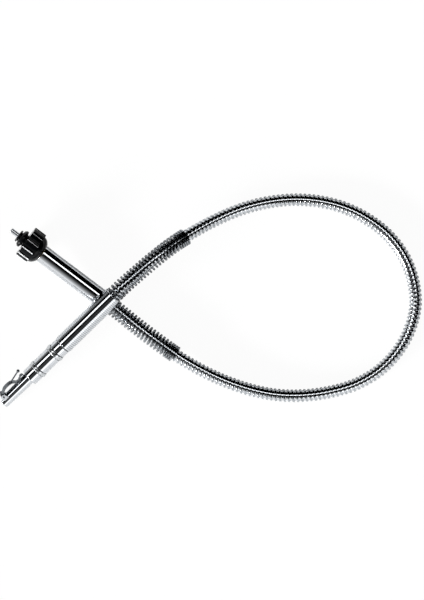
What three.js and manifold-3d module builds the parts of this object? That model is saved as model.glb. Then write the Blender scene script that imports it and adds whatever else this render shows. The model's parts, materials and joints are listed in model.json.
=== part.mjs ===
// Mechanical cable release: a hand end whose plunger pushes a core wire through a flexible
// stripwound hose, so that a pin comes out of the screw-on nose at the other end.
// Millimetres, +Z up. The release lies looped on a table at Z = 0, and its hand end crosses
// over its camera end. The plunger is held in by the lock lever, so the pin stands out.
import * as THREE from 'three';
import { mergeVertices } from 'three/addons/utils/BufferGeometryUtils.js';
import Module from 'manifold-3d';

// ---- driving dimensions ---------------------------------------------------------------------

const gap = 0.3; // between pieces that seat on, slide in or turn in each other

// Hose, its inner conduit and the core wire.
const hose = { radius: 3.1, bore: 2.25, sides: 10 };
const conduit = { radius: 1.9, bore: 1.05, sides: 6 };
const core = { radius: 0.6, sides: 6 };
const cordSteps = 72;
const hoseInsertion = 7; // how far the hose goes into each end tube
const endTubeBore = hose.radius + gap + 0.05; // both end tubes

// Open wire springs that guard the hose against a sharp bend where it leaves each tube.
const guardWire = 0.4; // radius
const guardSlack = 0.36; // between the hose and the inside of the turns
const guardPitch = 1.93;
const guardClosePitch = 1.15;
const guardCloseTurns = 4;
const handGuardLength = 44.5;
const cameraGuardLength = 40;

// Camera end, measured along its own axis from the middle of the ribbed nut, + towards the pin.
const cameraTubeRadius = endTubeBore + 0.9;
const cameraTubeLength = 40;
const nutRadius = 8.2;
const nutLength = 6.3;
const nutRibs = 12;
const nutGrooveDepth = 0.95;
const nutGrooveWidth = 1.25;
const nutDomeRadius = nutRadius - 1.1;
const nutDomeEndRadius = 4.6;
const nutDomeLength = 3.5;
const journalRadius = 2.9;
const nutCounterboreRadius = 4.2;
const retainingRingThickness = 0.6;
const noseThreadRadius = 4.45;
const noseTipRadius = 3.15;
const noseLength = 4.2;
const pinRadius = 1.28;
const pinStandsOut = 4.35;
const releaseTravel = 4;

// Hand end, measured along its own axis from the open tip of the guide tube, + towards the hose.
const guideTipRadius = 2.75;
const guideRootRadius = 3.05;
const guideBore = 2.05;
const guideVisibleLength = 17.6;
const guideSeatLength = 4.7;
const guideSlotWidth = 1.9;
const guideTipStep = 1.2;
const barrelBore = guideRootRadius + gap + 0.05;
const barrelRadius = barrelBore + 0.95;
const barrelLength = 22.6;
const fingerRingRadius = barrelRadius + 0.4;
const fingerRingSeat = barrelRadius - 0.4;
const fingerRings = [{ name: 'finger_ring_front', start: 5.0, width: 2.4 },
  { name: 'finger_ring_rear', start: 16.2, width: 2.7 }];
const gripTubeRadius = endTubeBore + 1.2;
const gripTubeLength = 34.9;
const rodRadius = 1.3;
const rodHeadRadius = guideBore - gap - 0.03;
const rodWaistRadius = rodRadius - 0.45;
const returnSpringWire = 0.3;
const returnSpringTurns = 7;
const springStepsPerTurn = 10;

// Lock lever: its outline is drawn in a plane through the hand end's axis.
const leverPlaneLean = 45; // degrees from straight up, towards the loop's outer side
const leverWidth = 2.2;
const leverThickness = 0.45;
const toothWidth = 1.3;
const leverPivot = { out: 4.3, along: 3.1, eye: 1.15, hole: 0.75, pin: 0.45 };
const earThickness = 0.5;

// Where the two ends lie on the table. Both are straight, and cross at tubesCross in plan.
const tubesCross = new THREE.Vector2(5.8, 7.2);
const cameraDirection = new THREE.Vector2(-0.7965, 0.6046); // towards the pin
const handDirection = new THREE.Vector2(0.7174, 0.6967); // towards the hose
const nutToCross = 45.8;
const tipToCross = 69.6;
const cameraTubeEndHeight = cameraTubeRadius + 0.4;
const crossAllowance = 1.02; // the tubes lean, so their axes lie a little more than two radii apart

// Free stretch of the hose: its middle line in plan, and its underside's height. It lies on the
// table but for the slope down from the hand end.
const hoseRoute = [
  [29.0, 28.1, 12.1], [38.2, 35.2, 9.5], [48.4, 41.6, 6.2], [59.5, 47.5, 3.1], [71.1, 52.3, 1],
  [83.3, 55.4, 0.2], [95.7, 56.7, 0.05], [108.2, 55.9, 0.05], [120.4, 52.8, 0.05],
  [131.6, 47.3, 0.05], [141.5, 39.5, 0.05], [149.0, 29.5, 0.05], [153.5, 17.8, 0.05],
  [154.6, 5.4, 0.05], [151.5, -6.7, 0.05], [145.2, -17.5, 0.05], [136.3, -26.3, 0.05],
  [125.4, -32.5, 0.05], [113.4, -36.0, 0.05], [100.9, -37.7, 0.05], [88.4, -37.5, 0.1],
  [76.1, -35.2, 0.25], [64.2, -31.3, 0.6], [52.7, -26.1, 1.05], [41.8, -19.9, 1.35],
  [31.5, -12.7, 1.4], [21.5, -5.2, 1.4],
];

// ---- materials ------------------------------------------------------------------------------

const finish = (color, roughness, metalness) => () =>
  new THREE.MeshStandardMaterial({ color, roughness, metalness });
const chromePlate = finish(0xd8dadc, 0.12, 1);
const satinNickel = finish(0xb9bcbf, 0.4, 1);
const blackMoulding = finish(0x0b0b0c, 0.22, 0);
const springSteel = finish(0x9a9da1, 0.3, 1);
const turnedBrass = finish(0xb99a55, 0.35, 1);

// ---- building blocks ------------------------------------------------------------------------

const wasm = await Module();
wasm.setup();

// A closed mesh as a solid that can be cut and joined.
function solidOf(geometry) {
  const bare = geometry.clone();
  bare.deleteAttribute('normal');
  bare.deleteAttribute('uv');
  const merged = mergeVertices(bare, 1e-4);
  const mesh = new wasm.Mesh({
    numProp: 3,
    vertProperties: new Float32Array(merged.attributes.position.array),
    triVerts: new Uint32Array(merged.index.array),
  });
  return new wasm.Manifold(mesh);
}

function geometryOf(solid) {
  const mesh = solid.getMesh();
  const geometry = new THREE.BufferGeometry();
  geometry.setAttribute('position', new THREE.BufferAttribute(mesh.vertProperties, mesh.numProp));
  geometry.setIndex(new THREE.BufferAttribute(mesh.triVerts, 1));
  geometry.computeVertexNormals();
  return geometry;
}

const join = (first, ...rest) =>
  geometryOf(rest.reduce((whole, next) => whole.add(solidOf(next)), solidOf(first)));

const cut = (body, ...tools) =>
  geometryOf(tools.reduce((whole, tool) => whole.subtract(solidOf(tool)), solidOf(body)));

// Turns a section of [radius, height] points round the Y axis. A section that does not start
// on the axis closes on itself, as a ring's or a tube's does.
function turned(section, sides = 20) {
  const points = section.map(([radius, height]) => new THREE.Vector2(radius, height));
  if (section[0][0] > 0) points.push(points[0].clone());
  if (THREE.ShapeUtils.area(points) < 0) points.reverse();
  return new THREE.LatheGeometry(points, sides);
}

// A plain tube between two heights, whose bore and outside are given as radii.
const sleeve = (outside, bore, low, high, sides) =>
  turned([[bore, low], [outside, low], [outside, high], [bore, high]], sides);

const rod = (radius, low, high, sides) =>
  turned([[0, low], [radius, low], [radius, high], [0, high]], sides);

// A block given by its lowest and highest corners.
function block([x0, y0, z0], [x1, y1, z1]) {
  const geometry = new THREE.BoxGeometry(x1 - x0, y1 - y0, z1 - z0);
  return geometry.translate((x0 + x1) / 2, (y0 + y1) / 2, (z0 + z1) / 2);
}

function circle(radius, sides) {
  const points = [];
  for (let i = 0; i < sides; i += 1) {
    const turn = 2 * Math.PI * i / sides;
    points.push(new THREE.Vector2(radius * Math.cos(turn), radius * Math.sin(turn)));
  }
  return points;
}

// A solid cord or, with a bore, a hose along a curve.
function alongCurve(curve, radius, bore, sides, steps) {
  const section = new THREE.Shape(circle(radius, sides));
  if (bore) section.holes.push(new THREE.Path(circle(bore, sides)));
  return new THREE.ExtrudeGeometry(section, { steps, extrudePath: curve, bevelEnabled: false });
}

// A wire coil wound round another curve: advance(turn) is how far along that curve the wire
// has come after so many turns.
class CoilRound extends THREE.Curve {
  constructor(spine, from, radius, turns, advance) {
    super();
    Object.assign(this, { spine, from, radius, turns, advance });
    this.spineLength = spine.getLength();
  }

  getPoint(t, target = new THREE.Vector3()) {
    const turn = this.turns * t;
    const share = (this.from + this.advance(turn)) / this.spineLength;
    const along = this.spine.getTangentAt(share);
    const side = new THREE.Vector3(0, 0, 1).cross(along).normalize();
    const over = along.clone().cross(side);
    const angle = 2 * Math.PI * turn;
    return target.copy(this.spine.getPointAt(share))
      .addScaledVector(side, this.radius * Math.cos(angle))
      .addScaledVector(over, this.radius * Math.sin(angle));
  }

  // Even steps of t are even steps of turn, in close turns as in open ones.
  getSpacedPoints(steps) {
    return this.getPoints(steps);
  }

  getPointAt(t, target) {
    return this.getPoint(t, target);
  }

  getTangentAt(t, target) {
    return this.getTangent(t, target);
  }
}

// A bent strip: the outline on both sides of a smooth line through [out, along] points.
function bentStrip(line, thickness, width, steps) {
  const middle = new THREE.SplineCurve(line.map(([x, y]) => new THREE.Vector2(x, y)));
  const near = [];
  const far = [];
  for (let i = 0; i <= steps; i += 1) {
    const point = middle.getPointAt(i / steps);
    const tangent = middle.getTangentAt(i / steps);
    const normal = new THREE.Vector2(-tangent.y, tangent.x).multiplyScalar(thickness / 2);
    near.push(point.clone().add(normal));
    far.push(point.clone().sub(normal));
  }
  return plate([...near, ...far.reverse()], width);
}

// A plate of the given outline, with its middle plane at Z = 0.
function plate(outline, width) {
  const geometry = new THREE.ExtrudeGeometry(new THREE.Shape(outline),
    { depth: width, bevelEnabled: false });
  return geometry.translate(0, 0, -width / 2);
}

// A round bar between two points.
function bar(from, to, radius, sides) {
  const length = from.distanceTo(to);
  const geometry = rod(radius, 0, length, sides);
  const turn = new THREE.Quaternion().setFromUnitVectors(
    new THREE.Vector3(0, 1, 0), to.clone().sub(from).normalize());
  return geometry.applyQuaternion(turn).translate(from.x, from.y, from.z);
}

function addPiece(group, name, geometry, material) {
  const mesh = new THREE.Mesh(geometry, material());
  mesh.name = name;
  group.add(mesh);
}

// ---- where the two ends lie -----------------------------------------------------------------

const up = new THREE.Vector3(0, 0, 1);

// Places along the camera end's axis.
const nutFront = nutLength / 2;
const nutBack = -nutLength / 2;
const domeEnd = nutBack - nutDomeLength;
const cameraTubeFront = domeEnd - gap;
const cameraTubeRear = cameraTubeFront - cameraTubeLength;

// The nut rests on the table by its back edge, and the hose holds the tube's rear end just off it.
const nutSlope = Math.asin((nutRadius - cameraTubeEndHeight) / -cameraTubeRear);
const nutHeight = nutRadius * Math.cos(nutSlope) + nutFront * Math.sin(nutSlope);
const cameraRise = (nutHeight - cameraTubeEndHeight) / -cameraTubeRear;
const cameraLevel = Math.sqrt(1 - cameraRise ** 2);
const cameraAxis = new THREE.Vector3(
  cameraDirection.x * cameraLevel, cameraDirection.y * cameraLevel, cameraRise).normalize();
const nutCentre = new THREE.Vector3(
  tubesCross.x + cameraDirection.x * nutToCross,
  tubesCross.y + cameraDirection.y * nutToCross,
  nutHeight);
const cameraCrossHeight = nutHeight - nutToCross * cameraRise / cameraLevel;

// The hand end rests on the tip of its guide tube and on the camera end's tube.
const crossHeight = cameraCrossHeight
  + (cameraTubeRadius + gripTubeRadius + gap) * crossAllowance;
const tipHeight = guideTipRadius;
const handSlope = Math.atan((crossHeight - tipHeight) / tipToCross);
const handAxis = new THREE.Vector3(
  handDirection.x * Math.cos(handSlope),
  handDirection.y * Math.cos(handSlope),
  Math.sin(handSlope)).normalize();
const handTip = new THREE.Vector3(
  tubesCross.x - handDirection.x * tipToCross,
  tubesCross.y - handDirection.y * tipToCross,
  tipHeight);

// A group whose Y is the given axis and whose X leans from straight up to the axis's left.
function endGroup(origin, axis, lean) {
  const left = up.clone().cross(axis).normalize();
  const over = axis.clone().cross(left);
  const out = over.multiplyScalar(Math.cos(lean)).addScaledVector(left, Math.sin(lean));
  const group = new THREE.Group();
  const across = out.clone().cross(axis);
  group.quaternion.setFromRotationMatrix(new THREE.Matrix4().makeBasis(out, axis, across));
  group.position.copy(origin);
  return group;
}

const cableRelease = new THREE.Group();
const cameraEnd = endGroup(nutCentre, cameraAxis, 0);
const handEnd = endGroup(handTip, handAxis, THREE.MathUtils.degToRad(leverPlaneLean));
cableRelease.add(cameraEnd, handEnd);

// Places along the hand end's axis.
const barrelFront = guideVisibleLength + gap;
const barrelRear = barrelFront + barrelLength;
const gripTubeFront = barrelRear + gap;
const gripTubeRear = gripTubeFront + gripTubeLength;

// ---- what both ends share -------------------------------------------------------------------

// The hose end stands against an anchor, and the conduit ends in the anchor's rear bore.
const anchorLength = 5.1;
const anchorShoulder = 1.8; // length of the front part, which only the core wire passes
const wireBore = core.radius + gap + 0.05;

// mouth: the tube's open rear end; inward: the sense from the mouth into the tube.
function hoseAnchor(mouth, inward) {
  const rear = mouth + inward * (hoseInsertion + gap);
  const shoulder = rear + inward * (anchorLength - anchorShoulder);
  const front = rear + inward * anchorLength;
  return turned([[conduit.radius + gap, rear], [endTubeBore - gap, rear],
    [endTubeBore - gap, front], [wireBore, front], [wireBore, shoulder],
    [conduit.radius + gap, shoulder]]);
}

// A crimped sleeve that ties a rod's rear end to the core wire, from its rod end to its wire end.
const crimpLength = 14;
const crimpRodDepth = 3.5;
function wireCrimp(rodEnd, towardsHose, rodSize) {
  const step = rodEnd + towardsHose * (crimpRodDepth + gap);
  const wireEnd = rodEnd + towardsHose * crimpLength;
  return turned([[rodSize + gap, rodEnd], [endTubeBore - 3.5 * gap, rodEnd],
    [endTubeBore - 3.5 * gap, wireEnd], [wireBore, wireEnd], [wireBore, step],
    [rodSize + gap, step]], 18);
}

// ---- camera end -----------------------------------------------------------------------------

addPiece(cameraEnd, 'camera_end_tube', turned([
  [endTubeBore, cameraTubeRear], [cameraTubeRadius - gap, cameraTubeRear],
  [cameraTubeRadius, cameraTubeRear + gap], [cameraTubeRadius, cameraTubeFront],
  [endTubeBore, cameraTubeFront]], 28), chromePlate);

// The bush is pressed into the tube's front, and its journal carries the nut.
const ringSeat = { back: gap, front: gap + retainingRingThickness + 2 * gap };
const journalEnd = ringSeat.front + 0.5;
const bushRear = cameraTubeFront - 5;
const pinBore = pinRadius + gap;
addPiece(cameraEnd, 'nut_bush', turned([
  [pinBore, bushRear], [endTubeBore - gap, bushRear], [endTubeBore - gap, cameraTubeFront],
  [journalRadius, cameraTubeFront], [journalRadius, ringSeat.back],
  [journalRadius - 2 * gap, ringSeat.back], [journalRadius - 2 * gap, ringSeat.front],
  [journalRadius, ringSeat.front], [journalRadius, journalEnd], [pinBore, journalEnd]]),
turnedBrass);

addPiece(cameraEnd, 'nut_retaining_ring', sleeve(nutCounterboreRadius - gap,
  journalRadius - gap, ringSeat.back + gap, ringSeat.front - gap), springSteel);

// Twelve broad ribs with a narrow groove between each pair, and a smooth dome behind them.
function nutGroove(index) {
  const groove = block([nutRadius - nutGrooveDepth, nutBack - gap, -nutGrooveWidth / 2],
    [nutRadius + 1, nutFront + 1, nutGrooveWidth / 2]);
  return groove.rotateY(2 * Math.PI * (index + 0.5) / nutRibs);
}
const nutEdge = 0.4;
const nutBody = turned([
  [journalRadius + gap, domeEnd], [nutDomeEndRadius, domeEnd],
  [nutDomeRadius - 0.9, domeEnd + nutDomeLength * 0.42], [nutDomeRadius, nutBack - gap],
  [nutRadius - nutEdge, nutBack], [nutRadius, nutBack + nutEdge], [nutRadius, nutFront - nutEdge],
  [nutRadius - nutEdge, nutFront], [nutCounterboreRadius, nutFront],
  [nutCounterboreRadius, 0], [journalRadius + gap, 0]], 36);
addPiece(cameraEnd, 'ribbed_nut',
  cut(nutBody, ...Array.from({ length: nutRibs }, (_, index) => nutGroove(index))),
  blackMoulding);

// The nose is pressed into the nut's front and screws into the camera with it.
const noseSeat = journalEnd + gap;
const noseBack = nutFront + gap;
const noseFront = noseBack + noseLength;
addPiece(cameraEnd, 'screw_nose', turned([
  [pinBore, noseSeat], [nutCounterboreRadius - gap, noseSeat],
  [nutCounterboreRadius - gap, nutFront], [nutCounterboreRadius - 4 * gap, noseBack],
  [nutCounterboreRadius - 4 * gap, noseBack + 0.4], [noseThreadRadius, noseBack + 0.9],
  [noseThreadRadius, noseBack + 1.8], [noseTipRadius + 0.4, noseBack + 2.7],
  [noseTipRadius - 0.8, noseBack + 2.9], [noseTipRadius - 0.8, noseBack + 3.15],
  [noseTipRadius, noseBack + 3.35], [noseTipRadius, noseBack + 3.7],
  [noseTipRadius - 0.4, noseFront], [pinBore, noseFront]], 28), blackMoulding);

// The pin slides through nose and bush, and a crimp behind the bush ties it to the wire.
const pinTip = noseFront + pinStandsOut;
const cameraCrimpEnd = bushRear - 2 * gap;
addPiece(cameraEnd, 'release_pin', turned([
  [0, cameraCrimpEnd - crimpRodDepth], [pinRadius, cameraCrimpEnd - crimpRodDepth],
  [pinRadius, pinTip - 0.25], [pinRadius - 0.25, pinTip], [0, pinTip]], 16), chromePlate);
addPiece(cameraEnd, 'pin_wire_crimp', wireCrimp(cameraCrimpEnd, -1, pinRadius), turnedBrass);
addPiece(cameraEnd, 'camera_end_anchor', hoseAnchor(cameraTubeRear, 1), turnedBrass);

// ---- hand end -------------------------------------------------------------------------------

// The guide tube is slit along the lever's side, and carries two ears for the lever's pin.
const slotSide = guideSlotWidth / 2;
const guideRear = guideVisibleLength + guideSeatLength;
const guideWall = turned([
  [guideBore, 0], [guideTipRadius - 0.25, 0], [guideTipRadius, 0.25],
  [guideRootRadius, guideVisibleLength], [guideRootRadius, guideRear], [guideBore, guideRear]], 28);
const guideSlot = block([0, -1, -slotSide], [guideRootRadius + 1, guideVisibleLength, slotSide]);
const guideStep = block([-0.4, -1, 0], [guideRootRadius + 1, guideTipStep, guideRootRadius + 1]);

function leverEar(side) {
  const { out, along, eye } = leverPivot;
  const root = guideBore - 0.15;
  const outline = [new THREE.Vector2(root, along - eye - 0.3)];
  for (let i = 0; i <= 8; i += 1) {
    const turn = Math.PI * (i / 8 - 0.5);
    outline.push(new THREE.Vector2(out + eye * Math.cos(turn), along + eye * Math.sin(turn)));
  }
  outline.push(new THREE.Vector2(root, along + eye + 0.3));
  return plate(outline, earThickness).translate(0, 0, side * (leverWidth + earThickness + 2 * gap) / 2);
}
const leverHole = (half) => rod(leverPivot.hole, -half, half, 12).rotateX(Math.PI / 2)
  .translate(leverPivot.out, leverPivot.along, 0);
const earSpan = leverWidth / 2 + gap + earThickness;
addPiece(handEnd, 'guide_tube',
  cut(join(cut(guideWall, guideSlot, guideStep), leverEar(1), leverEar(-1)), leverHole(earSpan + 1)),
  chromePlate);

addPiece(handEnd, 'lever_pivot_pin', rod(leverPivot.pin, -earSpan - gap, earSpan + gap, 12)
  .rotateX(Math.PI / 2).translate(leverPivot.out, leverPivot.along, 0), springSteel);

// The lever arches over the tube from its pin. Its foot reaches through the slot to the rod's
// waist, and a straight arm with a ball is there for the thumb.
const footAlong = guideVisibleLength - 3.9;
const footOut = guideRootRadius + gap + leverThickness / 2 + 0.1;
const thumbBall = { out: 8.5, along: footAlong + 3.7, radius: 0.8 };
// [out from the axis, share of the way from the pin to the foot]
const leverArch = [[leverPivot.out + 0.9, 0.028], [5.7, 0.123], [6.8, 0.292], [7.1, 0.519],
  [6.6, 0.726], [footOut + 1.525, 0.849], [footOut + 0.325, 0.906], [footOut, 0.972],
  [footOut, 1.094]];
const leverLine = leverArch.map(([out, share]) =>
  [out, leverPivot.along + share * (footAlong - leverPivot.along)]);
const armRoot = new THREE.Vector3(...leverLine[4], 0);
const lever = join(
  bentStrip(leverLine, leverThickness, leverWidth, 22),
  rod(leverPivot.eye, -leverWidth / 2, leverWidth / 2, 16).rotateX(Math.PI / 2)
    .translate(leverPivot.out, leverPivot.along, 0),
  block([rodWaistRadius + gap, footAlong - 0.5, -toothWidth / 2],
    [footOut, footAlong + 0.5, toothWidth / 2]),
  bar(armRoot, new THREE.Vector3(thumbBall.out, thumbBall.along, 0), 0.35, 8),
  new THREE.SphereGeometry(thumbBall.radius, 12, 8)
    .translate(thumbBall.out, thumbBall.along, 0));
addPiece(handEnd, 'lock_lever', cut(lever, leverHole(leverWidth)), springSteel);

// A bowed strip from the barrel's face holds the lever's foot down.
// [out from the foot's middle, distance in front of the guide tube's end]
const catchLine = [[0.075, 0.2], [1.225, 0.3], [1.775, 1.0], [1.475, 2.0], [0.775, 2.65],
  [0.675, 3.4]];
addPiece(handEnd, 'catch_spring', bentStrip(
  catchLine.map(([out, ahead]) => [footOut + out, guideVisibleLength - ahead]), 0.3, 1.6, 14),
springSteel);

// The barrel holds the guide tube in its front, and two rings sit in grooves round it.
const barrelSection = [[barrelBore, barrelFront], [barrelRadius - gap, barrelFront],
  [barrelRadius, barrelFront + gap]];
for (const ring of fingerRings) {
  const low = barrelFront + ring.start;
  const high = low + ring.width;
  barrelSection.push([barrelRadius, low], [fingerRingSeat, low], [fingerRingSeat, high],
    [barrelRadius, high]);
  addPiece(handEnd, ring.name, turned([
    [fingerRingSeat + gap, low + gap], [fingerRingRadius - gap, low + gap],
    [fingerRingRadius, low + 2 * gap], [fingerRingRadius, high - 2 * gap],
    [fingerRingRadius - gap, high - gap], [fingerRingSeat + gap, high - gap]], 28), satinNickel);
}
barrelSection.push([barrelRadius, barrelRear], [barrelBore, barrelRear]);
addPiece(handEnd, 'grip_barrel', turned(barrelSection, 28), chromePlate);

addPiece(handEnd, 'grip_tube', turned([
  [endTubeBore, gripTubeFront], [gripTubeRadius - gap, gripTubeFront],
  [gripTubeRadius, gripTubeFront + gap], [gripTubeRadius, gripTubeRear - gap],
  [gripTubeRadius - gap, gripTubeRear], [endTubeBore, gripTubeRear]], 28), chromePlate);

// A sleeve joins barrel and tube from inside, and its front end is the return spring's seat.
// Its rear part has the grip tube's size, which differs a little from the barrel's.
const joinerFront = barrelRear - 2.4;
const handAnchorFront = gripTubeRear - hoseInsertion - gap - anchorLength;
const handCrimpEnd = handAnchorFront - 3 * gap - crimpLength;
const joinerRear = handCrimpEnd - releaseTravel - 2 * gap;
addPiece(handEnd, 'joining_sleeve', turned([
  [rodRadius + gap, joinerFront], [barrelBore - gap, joinerFront],
  [barrelBore - gap, barrelRear - gap], [barrelBore - 2 * gap, barrelRear],
  [barrelBore - 2 * gap, gripTubeFront], [endTubeBore - gap, gripTubeFront + gap],
  [endTubeBore - gap, joinerRear], [rodRadius + gap, joinerRear]]), turnedBrass);

// The plunger rod: a head that fills the guide tube's mouth, a waist for the lever's tooth,
// a groove for the spring clip, and a rear end in its wire crimp.
const rodFront = 2;
const clip = { start: 26.9, thickness: 1.2 };
const clipGroove = [clip.start - gap, clip.start + clip.thickness + gap];
const rodRear = handCrimpEnd + crimpRodDepth;
addPiece(handEnd, 'plunger_rod', turned([
  [0, rodFront], [rodHeadRadius - 0.3, rodFront], [rodHeadRadius, rodFront + gap],
  [rodHeadRadius, rodFront + 2.4], [rodRadius, rodFront + 2.8],
  [rodRadius, footAlong - 1.1], [rodWaistRadius, footAlong - 0.9],
  [rodWaistRadius, footAlong + releaseTravel + 0.9], [rodRadius, footAlong + releaseTravel + 1.1],
  [rodRadius, clipGroove[0]], [rodRadius - gap, clipGroove[0]],
  [rodRadius - gap, clipGroove[1]], [rodRadius, clipGroove[1]],
  [rodRadius, rodRear], [0, rodRear]], 18), chromePlate);
addPiece(handEnd, 'spring_clip', sleeve(barrelBore - gap, rodRadius,
  clip.start, clip.start + clip.thickness), springSteel);
addPiece(handEnd, 'plunger_wire_crimp', wireCrimp(handCrimpEnd, 1, rodRadius), turnedBrass);
addPiece(handEnd, 'hand_end_anchor', hoseAnchor(gripTubeRear, -1), turnedBrass);

// The return spring stands between the clip and the joining sleeve.
const springSpan = [clipGroove[1] + returnSpringWire, joinerFront - gap - returnSpringWire];
const springAxis = new THREE.LineCurve3(
  new THREE.Vector3(0, springSpan[0], 0), new THREE.Vector3(0, springSpan[1], 0));
const returnSpringPitch = springAxis.getLength() / returnSpringTurns;
const returnSpring = new CoilRound(springAxis, 0, barrelBore - 2 * gap - returnSpringWire,
  returnSpringTurns, (turn) => turn * returnSpringPitch);
addPiece(handEnd, 'return_spring', alongCurve(returnSpring, returnSpringWire, 0, 5,
  returnSpringTurns * springStepsPerTurn), springSteel);

// ---- hose, conduit, core wire and guard springs ---------------------------------------------

const onHandAxis = (along) => handTip.clone().addScaledVector(handAxis, along);
const onCameraAxis = (along) => nutCentre.clone().addScaledVector(cameraAxis, along);

// The same route for all three, straight inside both tubes, with its own ends.
function cordRoute(handStart, cameraStop) {
  const points = [
    onHandAxis(handStart),
    onHandAxis((handStart + gripTubeRear) / 2),
    onHandAxis(gripTubeRear),
    onHandAxis(gripTubeRear + 6),
    ...hoseRoute.map(([x, y, lift]) => new THREE.Vector3(x, y, hose.radius + lift)),
    onCameraAxis(cameraTubeRear - 3),
    onCameraAxis(cameraTubeRear),
    onCameraAxis((cameraTubeRear + cameraStop) / 2),
    onCameraAxis(cameraStop)];
  const curve = new THREE.CatmullRomCurve3(points, false, 'centripetal');
  curve.arcLengthDivisions = 2000;
  return curve;
}

const hoseCurve = cordRoute(gripTubeRear - hoseInsertion, cameraTubeRear + hoseInsertion);
addPiece(cableRelease, 'armoured_hose',
  alongCurve(hoseCurve, hose.radius, hose.bore, hose.sides, cordSteps), chromePlate);

const conduitDepth = hoseInsertion + anchorLength - anchorShoulder;
addPiece(cableRelease, 'inner_conduit',
  alongCurve(cordRoute(gripTubeRear - conduitDepth, cameraTubeRear + conduitDepth),
    conduit.radius, conduit.bore, conduit.sides, cordSteps), springSteel);

// The wire ends as deep in its crimps as the travel still leaves it held at both limits.
const wireStop = crimpRodDepth + gap + releaseTravel + 1.2;
const wireHeld = releaseTravel + 2.5;
addPiece(cableRelease, 'core_wire',
  alongCurve(cordRoute(handAnchorFront - 3 * gap - wireHeld, cameraCrimpEnd - wireStop),
    core.radius, 0, core.sides, cordSteps), springSteel);

// The last few turns of a guard, at its hose end, are wound close.
function guardSpring(spine, length) {
  const start = hoseInsertion + gap + guardWire;
  const openTurns = (length - guardCloseTurns * guardClosePitch) / guardPitch;
  const turns = openTurns + guardCloseTurns;
  const advance = (turn) => Math.min(turn, openTurns) * guardPitch
    + Math.max(turn - openTurns, 0) * guardClosePitch;
  const coil = new CoilRound(spine, start, hose.radius + guardSlack + guardWire, turns, advance);
  return alongCurve(coil, guardWire, 0, 5, Math.round(turns * springStepsPerTurn));
}

const reversedCurve = new THREE.CatmullRomCurve3([...hoseCurve.points].reverse(), false, 'centripetal');
reversedCurve.arcLengthDivisions = 2000;
addPiece(cableRelease, 'hand_guard_spring', guardSpring(hoseCurve, handGuardLength), springSteel);
addPiece(cableRelease, 'camera_guard_spring', guardSpring(reversedCurve, cameraGuardLength), springSteel);

export default cableRelease;
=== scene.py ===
import json
import math

import bmesh
import bpy
import numpy as np
from mathutils import Matrix, Vector
from mathutils.geometry import interpolate_bezier


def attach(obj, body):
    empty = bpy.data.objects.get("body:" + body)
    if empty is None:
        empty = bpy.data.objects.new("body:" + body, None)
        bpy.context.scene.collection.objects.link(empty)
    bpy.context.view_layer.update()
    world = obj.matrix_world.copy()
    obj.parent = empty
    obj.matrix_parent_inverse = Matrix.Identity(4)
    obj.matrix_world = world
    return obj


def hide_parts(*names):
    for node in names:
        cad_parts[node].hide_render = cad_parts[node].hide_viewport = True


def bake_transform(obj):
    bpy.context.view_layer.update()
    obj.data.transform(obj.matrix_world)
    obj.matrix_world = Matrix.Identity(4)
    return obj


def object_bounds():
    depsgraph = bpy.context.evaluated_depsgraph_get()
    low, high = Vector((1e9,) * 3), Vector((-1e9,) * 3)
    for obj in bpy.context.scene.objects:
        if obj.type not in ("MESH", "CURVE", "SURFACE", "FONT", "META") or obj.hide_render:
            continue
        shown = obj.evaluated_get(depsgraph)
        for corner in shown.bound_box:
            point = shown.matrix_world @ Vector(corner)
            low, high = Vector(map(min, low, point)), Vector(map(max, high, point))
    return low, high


# Armoured cable release, looped on a table with its hand end crossing over its camera end.
# Each section below makes one piece, or one group of like pieces, in the order of assembly.

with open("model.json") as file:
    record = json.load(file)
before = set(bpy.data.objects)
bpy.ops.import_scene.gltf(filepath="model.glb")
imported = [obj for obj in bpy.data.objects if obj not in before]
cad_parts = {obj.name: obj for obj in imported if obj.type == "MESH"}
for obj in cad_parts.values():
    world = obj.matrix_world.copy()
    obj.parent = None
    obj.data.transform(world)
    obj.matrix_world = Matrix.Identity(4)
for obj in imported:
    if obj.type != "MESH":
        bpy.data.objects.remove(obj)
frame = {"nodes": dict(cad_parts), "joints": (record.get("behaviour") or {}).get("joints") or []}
cad_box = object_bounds()

# ---- camera ---------------------------------------------------------------------------------
# A long lens straight above the middle of the release, with the camera end at the upper left.

MM = 0.001
scene = bpy.context.scene
camera_height = 2.5
view_height = 289.8 * MM
camera = bpy.data.objects.new("camera", bpy.data.cameras.new("camera"))
scene.collection.objects.link(camera)
box_middle = (cad_box[0] + cad_box[1]) / 2
aim_right, aim_up = 0.8 * MM, 0.1 * MM  # from the middle of the release's box
camera.location = (box_middle.x + aim_right, box_middle.y + aim_up, camera_height)
camera.data.lens = camera.data.sensor_width * camera_height / view_height
camera.data.clip_end = 20
scene.camera = camera

# ---- armoured hose --------------------------------------------------------------------------
# Interlocked hose, wound from a formed steel strip and chromed. Each turn shows a flat land
# and a raised, flat-topped seam where it grips the next. It is stiff, and lies in one loop.


def linear(code):
    """A colour's sRGB hex code as linear RGBA."""
    levels = [int(code[i:i + 2], 16) / 255 for i in (0, 2, 4)]
    return [level / 12.92 if level <= 0.04045 else ((level + 0.055) / 1.055) ** 2.4
            for level in levels] + [1.0]


def add_node(tree, kind, settings=(), values=(), links=()):
    """One node, with its settings, its sockets' own values, and what feeds its sockets."""
    made = tree.nodes.new("ShaderNode" + kind)
    for name, value in dict(settings).items():
        setattr(made, name, value)
    for socket, value in dict(values).items():
        made.inputs[socket].default_value = value
    for socket, source in dict(links).items():
        tree.links.new(source, made.inputs[socket])
    return made


def new_material(name):
    """An empty node material: the material, its tree and its output's surface socket."""
    material = bpy.data.materials.new(name)
    material.use_nodes = True
    material.node_tree.nodes.clear()
    output = add_node(material.node_tree, "OutputMaterial")
    return material, material.node_tree, output.inputs["Surface"]


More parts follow.
